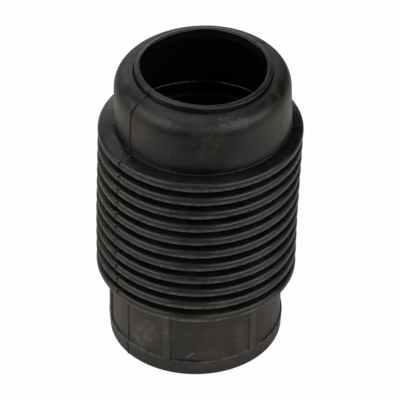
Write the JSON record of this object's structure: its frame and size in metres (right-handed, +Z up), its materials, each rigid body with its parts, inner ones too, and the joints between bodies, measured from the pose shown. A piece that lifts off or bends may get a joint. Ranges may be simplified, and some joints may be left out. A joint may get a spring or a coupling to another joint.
{
  "type": "rubber bellows boot",
  "caption": "Moulded rubber bellows boot: a dust sleeve with a clamp cuff at its foot, close concertina folds and a domed collar with a lipped neck hole.",
  "frame": {"origin": "centre of the foot, the plane that the boot stands on", "axes": "+Z up the cuff's axis, from the foot to the neck at the top, which leans over to +X"},
  "size_m": [0.0924, 0.09, 0.1423],
  "materials": {
    "black_rubber": "satin, as moulded"
  },
  "bodies": {
    "root": {"bellows_boot": "black_rubber"}
  },
  "joints": []
}
